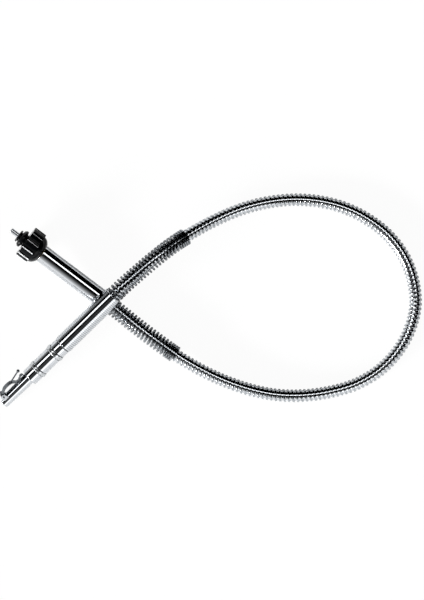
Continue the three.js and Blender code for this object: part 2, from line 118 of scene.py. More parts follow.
def add_piece(name, bm, material, body, slot, *nodes):
    """Makes a mesh object of bm that rides on a body and stands for CAD nodes."""
    mesh = bpy.data.meshes.new(name)
    bm.to_mesh(mesh)
    bm.free()
    mesh.shade_smooth()
    mesh.set_sharp_from_angle(angle=math.radians(38))
    mesh.materials.append(material)
    piece = bpy.data.objects.new(name, mesh)
    scene.collection.objects.link(piece)
    shading = piece.modifiers.new("flat_faces_stay_flat", "WEIGHTED_NORMAL")
    shading.keep_sharp = True
    if body:
        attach(piece, body)
    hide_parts(*nodes)
    return piece


def smooth_line(points, steps):
    """A centripetal spline through the points, as so many straight steps for each of them."""
    ends = [2 * points[0] - points[1], *points, 2 * points[-1] - points[-2]]
    line = []
    for a, b, c, d in zip(ends, ends[1:], ends[2:], ends[3:]):
        u, v, w = ((q - p).length ** 0.5 for p, q in ((a, b), (b, c), (c, d)))
        leave = ((b - a) / u - (c - a) / (u + v) + (c - b) / v) * v
        reach = ((c - b) / v - (d - b) / (v + w) + (d - c) / w) * v
        line += interpolate_bezier(b, b + leave / 3, c - reach / 3, c, steps + 1)[:-1]
    return line + [points[-1]]


joints = {joint["name"]: joint for joint in frame["joints"]}
nut_centre = Vector(joints["coupling_spin"]["pos_m"])
camera_axis = Vector(joints["coupling_spin"]["axis"])  # towards the pin
hand_axis = -Vector(joints["plunger_slide"]["axis"])  # towards the hose
lever_across = -Vector(joints["lever_lift"]["axis"])
lever_out = hand_axis.cross(lever_across)
lever_pin = Vector(joints["lever_lift"]["pos_m"])
pin_out, pin_along = 4.3, 3.1  # where the lever's pin is, in mm
hand_tip = lever_pin - (pin_out * lever_out + pin_along * hand_axis) * MM

hose_radius = 3.1  # over the seams
hose_insertion = 7.0  # into each end tube
camera_tube_rear = -46.95
grip_tube_rear = 75.7
route = [
    (29.0, 28.1, 15.2), (38.2, 35.2, 12.6), (48.4, 41.6, 9.3), (59.5, 47.5, 6.2),
    (71.1, 52.3, 4.1), (83.3, 55.4, 3.3), (95.7, 56.7, 3.15), (108.2, 55.9, 3.15),
    (120.4, 52.8, 3.15), (131.6, 47.3, 3.15), (141.5, 39.5, 3.15), (149.0, 29.5, 3.15),
    (153.5, 17.8, 3.15), (154.6, 5.4, 3.15), (151.5, -6.7, 3.15), (145.2, -17.5, 3.15),
    (136.3, -26.3, 3.15), (125.4, -32.5, 3.15), (113.4, -36.0, 3.15), (100.9, -37.7, 3.15),
    (88.4, -37.5, 3.2), (76.1, -35.2, 3.35), (64.2, -31.3, 3.7), (52.7, -26.1, 4.15),
    (41.8, -19.9, 4.45), (31.5, -12.7, 4.5), (21.5, -5.2, 4.5),
]
hand_places = [grip_tube_rear + a for a in (-hose_insertion, -hose_insertion / 2, 0, 6)]
camera_places = [camera_tube_rear + a for a in (-3, 0, hose_insertion / 2, hose_insertion)]
route_points = [hand_tip + hand_axis * a * MM for a in hand_places]
route_points += [Vector(point) * MM for point in route]
route_points += [nut_centre + camera_axis * a * MM for a in camera_places]
hose_line = np.array(smooth_line(route_points, 24))
line_lengths = np.linalg.norm(np.diff(hose_line, axis=0), axis=1)
line_places = np.concatenate([[0], np.cumsum(line_lengths)])
hose_length = line_places[-1]


def on_hose(distance):
    """Points on the hose's middle line, and its sideways and upward directions there."""
    def at(place):
        return np.stack([np.interp(place, line_places, column) for column in hose_line.T], -1)
    ahead = at(distance + 0.4 * MM) - at(distance - 0.4 * MM)
    ahead /= np.linalg.norm(ahead, axis=-1, keepdims=True)
    side = np.cross((0, 0, 1), ahead)
    side /= np.linalg.norm(side, axis=-1, keepdims=True)
    return at(distance), side, np.cross(ahead, side)


def lay_along_hose(bm, start, sense):
    """Bends a straight shape made along X onto the hose's middle line, from start onwards."""
    spots = np.array([vert.co for vert in bm.verts])
    middle, side, over = on_hose(start + sense * spots[:, 0])
    bent = middle + sense * side * spots[:, 1:2] + over * spots[:, 2:3]
    for vert, spot in zip(bm.verts, bent):
        vert.co = spot


land_radius = 2.55
wanted_pitch = 2.1  # from seam to seam; seam_pitch is the one that fits the hose's length
# One turn of the strip: [share of the pitch, share of the seam's height].
strip_section = [(0, 0), (0.38, 0), (0.43, 0.1), (0.5, 0.9), (0.56, 1), (0.87, 1), (0.93, 0.9),
                 (1, 0)]
facets, doublings = 24, 3
wound_turns = round((hose_length / MM / wanted_pitch - 1) / 2 ** doublings)
seam_pitch = hose_length / (wound_turns * 2 ** doublings + 1)
hose = bmesh.new()
strip = [hose.verts.new((share * seam_pitch,
                         (land_radius + rise * (hose_radius - land_radius)) * MM, 0))
         for share, rise in strip_section]
strip_edges = [hose.edges.new(pair) for pair in zip(strip, strip[1:])]
bmesh.ops.spin(hose, geom=strip + strip_edges, cent=(0, 0, 0), axis=(1, 0, 0),
               dvec=(seam_pitch / facets, 0, 0), angle=math.tau * wound_turns,
               steps=facets * wound_turns, use_merge=False, use_duplicate=False)
for doubling in range(doublings):
    wound = bmesh.ops.duplicate(hose, geom=[*hose.verts, *hose.edges, *hose.faces])
    bmesh.ops.translate(hose, vec=(seam_pitch * wound_turns * 2 ** doubling, 0, 0),
                        verts=[item for item in wound["geom"]
                               if isinstance(item, bmesh.types.BMVert)])
bmesh.ops.remove_doubles(hose, verts=hose.verts, dist=0.001 * MM)
groove = hose.verts.layers.float.new("groove")
seam_height = (hose_radius - land_radius) * MM
for vert in hose.verts:
    vert[groove] = (hose_radius * MM - Vector((vert.co.y, vert.co.z)).length) / seam_height
lay_along_hose(hose, 0, 1)
bmesh.ops.recalc_face_normals(hose, faces=hose.faces)

# Chrome plate on rolled strip, bright all over. The tops of the seams are painted a little greyer
# than the lands: painted shade, for the dark teeth along the hose's edges.
hose_chrome, tree, surface = new_material("chromed_stripwound_steel")
place = add_node(tree, "TexCoord")
wear = add_node(tree, "TexNoise", values={"Scale": 900, "Detail": 3},
                links={"Vector": place.outputs["Object"]})
seam_shade_mask = add_node(tree, "Attribute", {"attribute_name": "groove"})
# The seam tops get the darker colour: painted shade along the hose's edges.
tone = add_node(tree, "ValToRGB", links={"Fac": seam_shade_mask.outputs["Fac"]})
tone.color_ramp.elements[0].position = 0.2
tone.color_ramp.elements[0].color = linear("A8ACB0")
tone.color_ramp.elements[1].position = 0.9
tone.color_ramp.elements[1].color = linear("CBCED1")
gloss = add_node(tree, "MapRange", values={"To Min": 0.04, "To Max": 0.12},
                 links={"Value": wear.outputs["Fac"]})
rub = add_node(tree, "Bump", values={"Strength": 0.15, "Distance": 0.01 * MM},
               links={"Height": wear.outputs["Fac"]})
shader = add_node(tree, "BsdfPrincipled", values={"Metallic": 1},
                  links={"Base Color": tone.outputs["Color"], "Roughness": gloss.outputs["Result"],
                         "Normal": rub.outputs["Normal"]})
tree.links.new(shader.outputs["BSDF"], surface)

hose_piece = add_piece("stripwound_hose", hose, hose_chrome, "root", "hose_chrome",
                       "armoured_hose")
wall = hose_piece.modifiers.new("strip_wall", "SOLIDIFY")
wall.thickness = 0.4 * MM
wall.offset = -1

# The conduit inside the hose is close-wound steel wire, and the core wire is hard drawn steel.
drawn_steel, tree, surface = new_material("drawn_spring_steel")
place = add_node(tree, "TexCoord")
die_marks = add_node(tree, "TexNoise", values={"Scale": 1500, "Detail": 4},
                     links={"Vector": place.outputs["Object"]})
gloss = add_node(tree, "MapRange", values={"To Min": 0.08, "To Max": 0.2},
                 links={"Value": die_marks.outputs["Fac"]})
rub = add_node(tree, "Bump", values={"Strength": 0.2, "Distance": 0.01 * MM},
               links={"Height": die_marks.outputs["Fac"]})
shader = add_node(tree, "BsdfPrincipled",
                  values={"Metallic": 1, "Base Color": linear("666A6E")},
                  links={"Roughness": gloss.outputs["Result"], "Normal": rub.outputs["Normal"]})
tree.links.new(shader.outputs["BSDF"], surface)
for name in ("inner_conduit", "core_wire", "return_spring", "spring_clip", "nut_retaining_ring"):
    frame["nodes"][name].data.materials.clear()
    frame["nodes"][name].data.materials.append(drawn_steel)

# ---- guard springs --------------------------------------------------------------------------
# Spring wire, rolled flat on its inside and outside and plated, wound open round the hose
# where it leaves each tube, with its last turns closed up. They keep it from bending sharply.

guard_wire = 0.4  # half its height
guard_radius = hose_radius + 0.36 + guard_wire
tube_gap = 0.3
guard_start = hose_insertion + tube_gap + guard_wire
open_pitch, close_pitch, close_turns = 1.93, 1.15, 4
wire_section = [(-0.5, 0.12), (-0.34, 0.4), (0.34, 0.4), (0.5, 0.12), (0.5, -0.12), (0.34, -0.4),
                (-0.34, -0.4), (-0.5, -0.12)]
steps_per_turn = 28

# Bright plate on rolled wire: smooth, with faint patches from the rolls, so that each turn
# shows a thin clear highlight.
wire_plate, tree, surface = new_material("plated_spring_wire")
place = add_node(tree, "TexCoord")
die_marks = add_node(tree, "TexNoise", values={"Scale": 1200, "Detail": 3},
                     links={"Vector": place.outputs["Object"]})
gloss = add_node(tree, "MapRange", values={"To Min": 0.05, "To Max": 0.12},
                 links={"Value": die_marks.outputs["Fac"]})
shader = add_node(tree, "BsdfPrincipled",
                  values={"Metallic": 1, "Base Color": linear("8A8E92")},
                  links={"Roughness": gloss.outputs["Result"]})
tree.links.new(shader.outputs["BSDF"], surface)
for name, node, length, start, sense in (
        ("hand_guard", "hand_guard_spring", 44.5, 0, 1),
        ("camera_guard", "camera_guard_spring", 40.0, hose_length, -1)):
    guard = bmesh.new()
    points = [guard.verts.new((along * MM, (guard_radius + out) * MM, 0))
              for along, out in wire_section]
    end = [*points, guard.faces.new(points)]
    end += end[-1].edges
    open_turns = (length - close_turns * close_pitch) / open_pitch
    for turns, pitch in ((open_turns, open_pitch), (close_turns, close_pitch)):
        steps = round(steps_per_turn * turns)
        end = bmesh.ops.spin(guard, geom=end, cent=(0, 0, 0), axis=(1, 0, 0),
                             dvec=(turns * pitch / steps * MM, 0, 0), angle=math.tau * turns,
                             steps=steps, use_merge=False, use_duplicate=False)["geom_last"]
    bmesh.ops.remove_doubles(guard, verts=guard.verts, dist=0.001 * MM)
    lay_along_hose(guard, start + sense * guard_start * MM, sense)
    bmesh.ops.recalc_face_normals(guard, faces=guard.faces)
    add_piece(name, guard, wire_plate, "root", "guard_wire", node)

# ---- camera end tube ------------------------------------------------------------------------
# A thin tube turned from brass, polished, and chromed like a mirror. Its front takes the
# bush that the nut turns on, and the hose is soldered into its rear.


def placement(origin, out, along):
    """The matrix that takes X to out, Y to along, and the origin to the given point."""
    matrix = Matrix((out, along, out.cross(along))).transposed().to_4x4()
    matrix.translation = origin
    return matrix


def turned(section, place, sides=96, ring=True, rounding=0.08):
    """A piece turned on a lathe: spins a section of [radius, place along] points in mm."""
    bm = bmesh.new()
    points = [bm.verts.new((radius * MM, along * MM, 0)) for radius, along in section]
    pairs = zip(points, points[1:] + points[:1] if ring else points[1:])
    lines = [bm.edges.new(pair) for pair in pairs]
    bmesh.ops.spin(bm, geom=points + lines, cent=(0, 0, 0), axis=(0, 1, 0), angle=math.tau,
                   steps=sides, use_merge=True, use_duplicate=False)
    bmesh.ops.remove_doubles(bm, verts=bm.verts, dist=0.001 * MM)
    round_edges(bm, rounding)
    bmesh.ops.transform(bm, matrix=place, verts=bm.verts)
    return bm


def round_edges(bm, size, sharper_than=25):
    """Rounds every edge that is sharper than so many degrees."""
    bmesh.ops.recalc_face_normals(bm, faces=bm.faces)
    sharp = [edge for edge in bm.edges if len(edge.link_faces) == 2
             and edge.calc_face_angle() > math.radians(sharper_than)]
    if size and sharp:
        bmesh.ops.bevel(bm, geom=sharp, offset=size * MM, offset_type="OFFSET", affect="EDGES",
                        segments=2, profile=0.5, material=-1, clamp_overlap=True)


camera_out = camera_axis.cross(Vector((0, 0, 1)).cross(camera_axis).normalized())
camera_place = placement(nut_centre, camera_out, camera_axis)
end_tube_bore, camera_tube_radius, camera_tube_front = 3.45, 4.35, -6.95
camera_tube = turned([(end_tube_bore, camera_tube_rear), (4.05, camera_tube_rear),
                      (camera_tube_radius, camera_tube_rear + 0.3),
                      (camera_tube_radius, camera_tube_front),
                      (end_tube_bore, camera_tube_front)], camera_place)

# Mirror chrome: buffed brass plated bright. It mirrors the room sharply, and handling has
# left a few slightly softer and greyer patches.
mirror_chrome, tree, surface = new_material("mirror_chrome_plate")
place = add_node(tree, "TexCoord")
patches = add_node(tree, "TexNoise", values={"Scale": 220, "Detail": 4},
                   links={"Vector": place.outputs["Object"]})
gloss = add_node(tree, "MapRange", values={"To Min": 0.03, "To Max": 0.1},
                 links={"Value": patches.outputs["Fac"]})
tone = add_node(tree, "ValToRGB", links={"Fac": patches.outputs["Fac"]})
tone.color_ramp.elements[0].color = linear("BDC1C5")
tone.color_ramp.elements[1].color = linear("CBCDD0")
shader = add_node(tree, "BsdfPrincipled", values={"Metallic": 1},
                  links={"Base Color": tone.outputs["Color"],
                         "Roughness": gloss.outputs["Result"]})
tree.links.new(shader.outputs["BSDF"], surface)
add_piece("camera_tube", camera_tube, mirror_chrome, "root", "polished_chrome", "camera_end_tube")

# Inside the two ends are plain turned brass fittings, left as they came off the lathe.
bare_brass, tree, surface = new_material("bare_turned_brass")
place = add_node(tree, "TexCoord")
swirl = add_node(tree, "TexNoise", values={"Scale": 1800, "Detail": 2},
                 links={"Vector": place.outputs["Object"]})
tone = add_node(tree, "ValToRGB", links={"Fac": swirl.outputs["Fac"]})
tone.color_ramp.elements[0].color = linear("5E5136")
tone.color_ramp.elements[1].color = linear("776844")
gloss = add_node(tree, "MapRange", values={"To Min": 0.22, "To Max": 0.4},
                 links={"Value": swirl.outputs["Fac"]})
shader = add_node(tree, "BsdfPrincipled", values={"Metallic": 1},
                  links={"Base Color": tone.outputs["Color"],
                         "Roughness": gloss.outputs["Result"]})
tree.links.new(shader.outputs["BSDF"], surface)
for name in ("nut_bush", "camera_end_anchor", "hand_end_anchor", "joining_sleeve",
             "pin_wire_crimp", "plunger_wire_crimp"):
    frame["nodes"][name].data.materials.clear()
    frame["nodes"][name].data.materials.append(bare_brass)

# ---- ribbed nut -----------------------------------------------------------------------------
# Moulded in one piece from black phenolic and polished, with twelve broad ribs for the
# fingers and a smooth dome behind them. It turns on the bush.

nut_radius, nut_half_length, rib_count = 8.2, 3.15, 12
rib_pitch = math.tau / rib_count
groove_floor, groove_half_width = 7.25, 0.625
steps_per_rib = 10
nut = bmesh.new()
bmesh.ops.create_circle(nut, cap_ends=True, segments=rib_count * steps_per_rib, radius=1,
                        matrix=Matrix.Rotation(math.radians(90), 4, "X"))
for vert in nut.verts:
    turn = math.atan2(vert.co.z, vert.co.x)
    rib_turn = round(turn / rib_pitch) * math.tau / rib_count
    off = round((turn - rib_turn) / rib_pitch * steps_per_rib)
    in_groove = abs(off) > steps_per_rib * 0.35
    radius = groove_floor if in_groove else nut_radius
    wall_turn = rib_pitch / 2 - groove_half_width / radius
    off_turn = off / 3 * wall_turn if not in_groove else math.copysign(
        wall_turn if abs(off) == 4 else rib_pitch / 2, off)
    vert.co = (radius * MM * math.cos(rib_turn + off_turn), -nut_half_length * MM,
               radius * MM * math.sin(rib_turn + off_turn))
rise = bmesh.ops.extrude_face_region(nut, geom=list(nut.faces), use_keep_orig=True)
bmesh.ops.translate(nut, vec=(0, 2 * nut_half_length * MM, 0),
                    verts=[item for item in rise["geom"] if isinstance(item, bmesh.types.BMVert)])
round_edges(nut, 0.3)

# Black phenolic: deep gloss with a faint grain from the filler. One edge of each rib is painted
# with a pale line, a painted glint of the light along the ribs.
to_camera_end = camera_place.inverted()
phenolic, tree, surface = new_material("polished_black_phenolic")
place = add_node(tree, "TexCoord")
lathe_axes = add_node(tree, "Mapping", values={"Rotation": to_camera_end.to_euler(),
                                               "Location": to_camera_end.translation},
                      links={"Vector": place.outputs["Object"]})
spot = add_node(tree, "SeparateXYZ", links={0: lathe_axes.outputs[0]})
turn = add_node(tree, "Math", {"operation": "ARCTAN2"},
                links={0: spot.outputs["Z"], 1: spot.outputs["X"]})
# Where the painted glint runs on each rib.
glint_place = 10.2 / 30  # back from the middle of a rib, as a share of the rib pitch
turn = add_node(tree, "Math", {"operation": "MULTIPLY_ADD"},
                values={1: rib_count / math.tau, 2: glint_place}, links={0: turn.outputs[0]})
turn = add_node(tree, "Math", {"operation": "WRAP"}, values={1: 0.5, 2: -0.5},
                links={0: turn.outputs[0]})
turn = add_node(tree, "Math", {"operation": "ABSOLUTE"}, links={0: turn.outputs[0]})
on_edge = add_node(tree, "MapRange", values={"From Min": 0.095, "From Max": 0.06},
                   links={"Value": turn.outputs[0]})
flat = add_node(tree, "CombineXYZ", links={"X": spot.outputs["X"], "Y": spot.outputs["Z"]})
radius = add_node(tree, "VectorMath", {"operation": "LENGTH"}, links={0: flat.outputs[0]})
on_rib = add_node(tree, "MapRange",
                  values={"From Min": (nut_radius - 0.45) * MM, "From Max": (nut_radius - 0.35) * MM},
                  links={"Value": radius.outputs["Value"]})
painted_glint = add_node(tree, "Math", {"operation": "MULTIPLY"},
                  links={0: on_edge.outputs[0], 1: on_rib.outputs[0]})
filler = add_node(tree, "TexNoise", values={"Scale": 1600, "Detail": 5},
                  links={"Vector": place.outputs["Object"]})
gloss = add_node(tree, "MapRange", values={"To Min": 0.06, "To Max": 0.13},
                 links={"Value": filler.outputs["Fac"]})
grain = add_node(tree, "Bump", values={"Strength": 0.08, "Distance": 0.02 * MM},
                 links={"Height": filler.outputs["Fac"]})
# The pale colour is a painted glint along one edge of each rib.
tone = add_node(tree, "ValToRGB", links={"Fac": painted_glint.outputs[0]})
tone.color_ramp.elements[0].color = linear("060708")
tone.color_ramp.elements[1].color = linear("E6E8EA")
shader = add_node(tree, "BsdfPrincipled", values={"IOR": 1.6, "Specular IOR Level": 0.1},
                  links={"Base Color": tone.outputs["Color"], "Normal": grain.outputs["Normal"],
                         "Roughness": gloss.outputs["Result"]})
tree.links.new(shader.outputs["BSDF"], surface)


def solid_of(name, bm):
    """A plain mesh object of bm, to cut or join others with."""
    mesh = bpy.data.meshes.new(name)
    bm.to_mesh(mesh)
    bm.free()
    shape = bpy.data.objects.new(name, mesh)
    scene.collection.objects.link(shape)
    return shape


def combined(body, *others):
    """The bmesh of body after (operation, object) pairs were joined to it or cut from it."""
    for operation, other in others:
        step = body.modifiers.new(operation, "BOOLEAN")
        step.operation = operation
        step.solver = "EXACT"
        step.object = other
    bpy.context.view_layer.update()
    bm = bmesh.new()
    bm.from_object(body, bpy.context.evaluated_depsgraph_get())
    for shape in (body, *(other for _, other in others)):
        bpy.data.objects.remove(shape)
    return bm


upright = Matrix.Identity(4)
dome = turned([(0, -6.65), (4.45, -6.65), (4.7, -6.5), (5.6, -5.85), (6.35, -5.1), (6.85, -4.2),
               (7.05, -3.4), (7.05, -2.9), (0, -2.9)], upright, ring=False, rounding=0)
bore = turned([(0, -8), (3.2, -8), (3.2, 0), (4.2, 0), (4.2, 5), (0, 5)], upright, ring=False,
              rounding=0)
nut = combined(solid_of("nut_ribs", nut), ("UNION", solid_of("nut_dome", dome)),
               ("DIFFERENCE", solid_of("nut_bore", bore)))
bmesh.ops.transform(nut, matrix=camera_place, verts=nut.verts)
add_piece("coupling_nut", nut, phenolic, "coupling", "black_moulding", "ribbed_nut")

# ---- nose -----------------------------------------------------------------------------------
# The same black moulding, pressed into the nut's front. Its two crests are a coarse taper
# screw that holds the release in the camera.

nose = turned([(1.58, 2.3), (3.9, 2.3), (3.9, 3.1), (3.0, 3.45), (3.0, 3.85), (4.45, 4.35),
               (4.45, 5.25), (3.55, 6.15), (2.35, 6.35), (2.35, 6.6), (3.15, 6.8), (3.15, 7.2),
               (2.75, 7.65), (1.58, 7.65)], camera_place)
add_piece("nose", nose, phenolic, "coupling", "black_moulding", "screw_nose")

# ---- release pin ----------------------------------------------------------------------------
# Ground steel rod, chromed, that slides out of the nose and pushes the camera's shutter
# plunger. Its end is lightly domed by polishing.

pin = turned([(0, -16), (1.28, -16), (1.28, 11.7), (1.14, 11.93), (0.9, 12.0), (0, 12.0)],
             camera_place, sides=48, ring=False, rounding=0)
add_piece("pin", pin, mirror_chrome, "pin", "polished_chrome", "release_pin")

# ---- guide tube -----------------------------------------------------------------------------
# Brass tube with a slight taper, slit along one side and stepped at its tip, with two ears
# brazed on for the lever's pin, then chromed.

hand_place = placement(hand_tip, lever_out, hand_axis)
guide_bore, tip_radius, root_radius = 2.05, 2.75, 3.05
slot_half_width = 0.95
slot_turn = math.radians(20)
tip_step, tip_step_turn = 1.2, math.radians(99)  # how far one side of the tip is cut back
guide = bmesh.new()
section = [(guide_bore, 0), (tip_radius - 0.2, 0), (tip_radius, 0.2), (root_radius, 17.6),
           (root_radius, 22.3), (guide_bore, 22.3)]
wall_face = guide.faces.new([
    guide.verts.new((radius * MM, along * MM, 0)) for radius, along in section])
bmesh.ops.rotate(guide, cent=(0, 0, 0), matrix=Matrix.Rotation(slot_turn, 3, "Y"),
                 verts=guide.verts)
bmesh.ops.spin(guide, geom=[*guide.verts, *guide.edges, wall_face], cent=(0, 0, 0),
               axis=(0, 1, 0), angle=math.tau - 2 * slot_turn, steps=80, use_merge=False,
               use_duplicate=False)
for vert in guide.verts:
    radius = Vector((vert.co.x, vert.co.z)).length
    turn = math.atan2(vert.co.z, vert.co.x)
    if abs(turn) < slot_turn * 1.05:
        half = math.copysign(slot_half_width * MM, vert.co.z)
        vert.co = (math.sqrt(radius ** 2 - half ** 2), vert.co.y, half)
    if 0 < turn < tip_step_turn and vert.co.y < 0.3 * MM:
        vert.co.y += tip_step * MM
round_edges(guide, 0.06)
bmesh.ops.transform(guide, matrix=hand_place, verts=guide.verts)


def gathered(*shapes):
    """One bmesh of several."""
    whole = bmesh.new()
    for shape in shapes:
        mesh = bpy.data.meshes.new("shape")
        shape.to_mesh(mesh)
        shape.free()
        whole.from_mesh(mesh)
        bpy.data.meshes.remove(mesh)
    return whole


def plate(outline, low, high, rounding, place):
    """A flat plate: an outline of [out, along] points in mm between two places across."""
    bm = bmesh.new()
    face = bm.faces.new([bm.verts.new((out * MM, along * MM, low * MM)) for out, along in outline])
    rise = bmesh.ops.extrude_face_region(bm, geom=[face], use_keep_orig=True)
    bmesh.ops.translate(bm, vec=(0, 0, (high - low) * MM),
                        verts=[item for item in rise["geom"] if isinstance(item, bmesh.types.BMVert)])
    round_edges(bm, rounding)
    bmesh.ops.transform(bm, matrix=place, verts=bm.verts)
    return bm


eye_radius = 1.15
ear_outline = [(1.9, pin_along - 1.45)]
for i in range(13):
    turn = math.pi * (i / 12 - 0.5)
    ear_outline.append((pin_out + eye_radius * math.cos(turn),
                        pin_along + eye_radius * math.sin(turn)))
ear_outline.append((1.9, pin_along + 1.45))
ears = [plate(ear_outline, low, low + 0.5, 0.08, hand_place) for low in (1.4, -1.9)]
add_piece("slit_guide_tube", gathered(guide, *ears), mirror_chrome, "root", "polished_chrome",
          "guide_tube")

# The lever's pin is steel wire, riveted over outside the ears.
rivet = turned([(0, -2.3), (0.35, -2.3), (0.45, -2.2), (0.45, 2.2), (0.35, 2.3), (0, 2.3)],
               placement(lever_pin, lever_out, lever_across), sides=24, ring=False, rounding=0)
add_piece("lever_rivet", rivet, drawn_steel, "root", "spring_steel", "lever_pivot_pin")

# ---- plunger rod ----------------------------------------------------------------------------
# Turned steel, chromed. Its head fills the guide tube's mouth, and its long waist takes the
# lever's tooth. A spring clip and a brass crimp are fixed on it inside the barrel.

plunger = turned([(0, 2.0), (1.3, 2.0), (1.6, 2.1), (1.72, 2.35), (1.72, 4.3), (1.6, 4.55),
                  (1.3, 4.8), (1.3, 12.6), (0.85, 12.8), (0.85, 18.6), (1.3, 18.8), (1.3, 26.6),
                  (1.0, 26.6), (1.0, 28.4), (1.3, 28.4), (1.3, 51.9), (0, 51.9)],
                 hand_place, sides=48, ring=False, rounding=0)
add_piece("plunger", plunger, mirror_chrome, "plunger", "polished_chrome", "plunger_rod")

# ---- lock lever -----------------------------------------------------------------------------
# A strip of spring steel rolled into an eye at the pin and arched over the guide tube. Its
# tooth drops through the slit, and a wire arm with a ball on it is there for the thumb.


def strip_along(line, thickness, width, place):
    """A bent strip: [out, along] points in mm, joined smoothly, drawn out across."""
    bm = bmesh.new()
    curve = smooth_line([Vector((out, along, 0)) * MM for out, along in line], 6)
    points = [bm.verts.new(point - Vector((0, 0, width / 2 * MM))) for point in curve]
    lines = [bm.edges.new(pair) for pair in zip(points, points[1:])]
    rise = bmesh.ops.extrude_edge_only(bm, edges=lines)
    bmesh.ops.translate(bm, vec=(0, 0, width * MM),
                        verts=[item for item in rise["geom"] if isinstance(item, bmesh.types.BMVert)])
    bmesh.ops.recalc_face_normals(bm, faces=bm.faces)
    bmesh.ops.solidify(bm, geom=list(bm.faces), thickness=thickness * MM)
    round_edges(bm, thickness / 5, 45)
    bmesh.ops.transform(bm, matrix=place, verts=bm.verts)
    return bm


foot_along, foot_out = 13.7, 3.675
arch = strip_along([(5.2, 3.4), (5.7, 4.4), (6.8, 6.2), (7.1, 8.6), (6.6, 10.8), (5.2, 12.1),
                    (4.0, 12.7), (foot_out, 13.4), (foot_out, 14.7)], 0.45, 2.2, hand_place)
eye = turned([(0.75, -1.1), (eye_radius, -1.1), (eye_radius, 1.1), (0.75, 1.1)],
             placement(lever_pin, lever_out, lever_across), sides=40)
tooth = plate([(1.15, foot_along - 0.5), (foot_out, foot_along - 0.5),
               (foot_out, foot_along + 0.5), (1.15, foot_along + 0.5)], -0.65, 0.65, 0.1,
              hand_place)
arm_foot, ball_centre = Vector((6.6, 10.8, 0)) * MM, Vector((8.5, 17.4, 0)) * MM
arm_way = (ball_centre - arm_foot).normalized()
arm_length = (ball_centre - arm_foot).length / MM
arm_radius, ball_radius = 0.35, 0.8
arm = turned([(0, 0), (arm_radius, 0), (arm_radius, arm_length), (0, arm_length)],
             hand_place @ placement(arm_foot, arm_way.cross(Vector((0, 0, 1))), arm_way),
             sides=20, ring=False, rounding=0)
ball = bmesh.new()
bmesh.ops.create_uvsphere(ball, u_segments=32, v_segments=20, radius=ball_radius * MM,
                          matrix=hand_place @ Matrix.Translation(ball_centre))
add_piece("sprung_lock_lever", gathered(arch, eye, tooth, arm, ball), drawn_steel, "lever",
          "spring_steel", "lock_lever")

# The catch spring is a narrower strip, bowed from the barrel's face onto the lever's foot.
catch = strip_along([(3.75, 17.4), (4.9, 17.3), (5.45, 16.6), (5.15, 15.6), (4.45, 14.95),
                     (4.35, 14.2)], 0.3, 1.6, hand_place)
catch_piece = add_piece("bowed_catch_spring", catch, drawn_steel, None, "spring_steel",
                        "catch_spring")
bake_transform(catch_piece)

# ---- barrel and finger rings ----------------------------------------------------------------
# The barrel is turned brass, chromed like the tubes. Two nickel rings are sprung into
# grooves round it, a little proud, so that fingers hold it without slipping.

barrel = turned([(3.4, 17.9), (4.05, 17.9), (4.35, 18.2), (4.35, 22.9), (3.95, 22.9),
                 (3.95, 25.3), (4.35, 25.3), (4.35, 34.1), (3.95, 34.1), (3.95, 36.8),
                 (4.35, 36.8), (4.35, 40.5), (3.4, 40.5)], hand_place)
add_piece("barrel", barrel, mirror_chrome, "root", "polished_chrome", "grip_barrel")

to_hand = hand_place.inverted()
nickel, tree, surface = new_material("satin_nickel_plate")
place = add_node(tree, "TexCoord")
lathe_axes = add_node(tree, "Mapping",
                      values={"Rotation": to_hand.to_euler(), "Location": to_hand.translation},
                      links={"Vector": place.outputs["Object"]})
brushing = add_node(tree, "TexNoise", values={"Scale": 1, "Detail": 3})
stretched = add_node(tree, "Mapping", values={"Scale": (300, 9000, 300)},
                     links={"Vector": lathe_axes.outputs["Vector"]})
tree.links.new(stretched.outputs["Vector"], brushing.inputs["Vector"])
gloss = add_node(tree, "MapRange", values={"To Min": 0.14, "To Max": 0.3},
                 links={"Value": brushing.outputs["Fac"]})
lines = add_node(tree, "Bump", values={"Strength": 0.35, "Distance": 0.01 * MM},
                 links={"Height": brushing.outputs["Fac"]})
shader = add_node(tree, "BsdfPrincipled",
                  values={"Metallic": 1, "Base Color": linear("BCBFC1")},
                  links={"Roughness": gloss.outputs["Result"], "Normal": lines.outputs["Normal"]})
tree.links.new(shader.outputs["BSDF"], surface)
for name, node, low, high in (("front_finger_ring", "finger_ring_front", 23.2, 25.0),
                              ("rear_finger_ring", "finger_ring_rear", 34.4, 36.5)):
    ring = turned([(4.25, low), (4.5, low), (4.75, low + 0.25), (4.75, high - 0.25),
                   (4.5, high), (4.25, high)], hand_place)
    add_piece(name, ring, nickel, "root", "satin_nickel", node)

# ---- grip tube ------------------------------------------------------------------------------
# The long tube behind the barrel, turned with fine circular lines and chromed over them.
# The hose is soldered into its rear.

grip = turned([(end_tube_bore, 40.8), (4.35, 40.8), (4.65, 41.1), (4.65, grip_tube_rear - 0.3),
               (4.35, grip_tube_rear), (end_tube_bore, grip_tube_rear)], hand_place)
lined_chrome, tree, surface = new_material("chrome_plate_over_turning_lines")
place = add_node(tree, "TexCoord")
lathe_axes = add_node(tree, "Mapping",
                      values={"Rotation": to_hand.to_euler(), "Location": to_hand.translation},
                      links={"Vector": place.outputs["Object"]})
turning_pitch = 1.0 * MM  # the real one, under half of this, would not show
turning = add_node(tree, "TexWave", {"bands_direction": "Y"},
                   values={"Scale": math.tau / (20 * turning_pitch)},
                   links={"Vector": lathe_axes.outputs["Vector"]})
lines = add_node(tree, "Bump", values={"Strength": 0.15, "Distance": 0.02 * MM},
                 links={"Height": turning.outputs["Fac"]})
tone = add_node(tree, "ValToRGB", links={"Fac": turning.outputs["Fac"]})
tone.color_ramp.elements[0].color = linear("9CA0A4")
tone.color_ramp.elements[1].color = linear("CCCFD2")
shader = add_node(tree, "BsdfPrincipled", values={"Metallic": 1, "Roughness": 0.07},
                  links={"Base Color": tone.outputs["Color"], "Normal": lines.outputs["Normal"]})
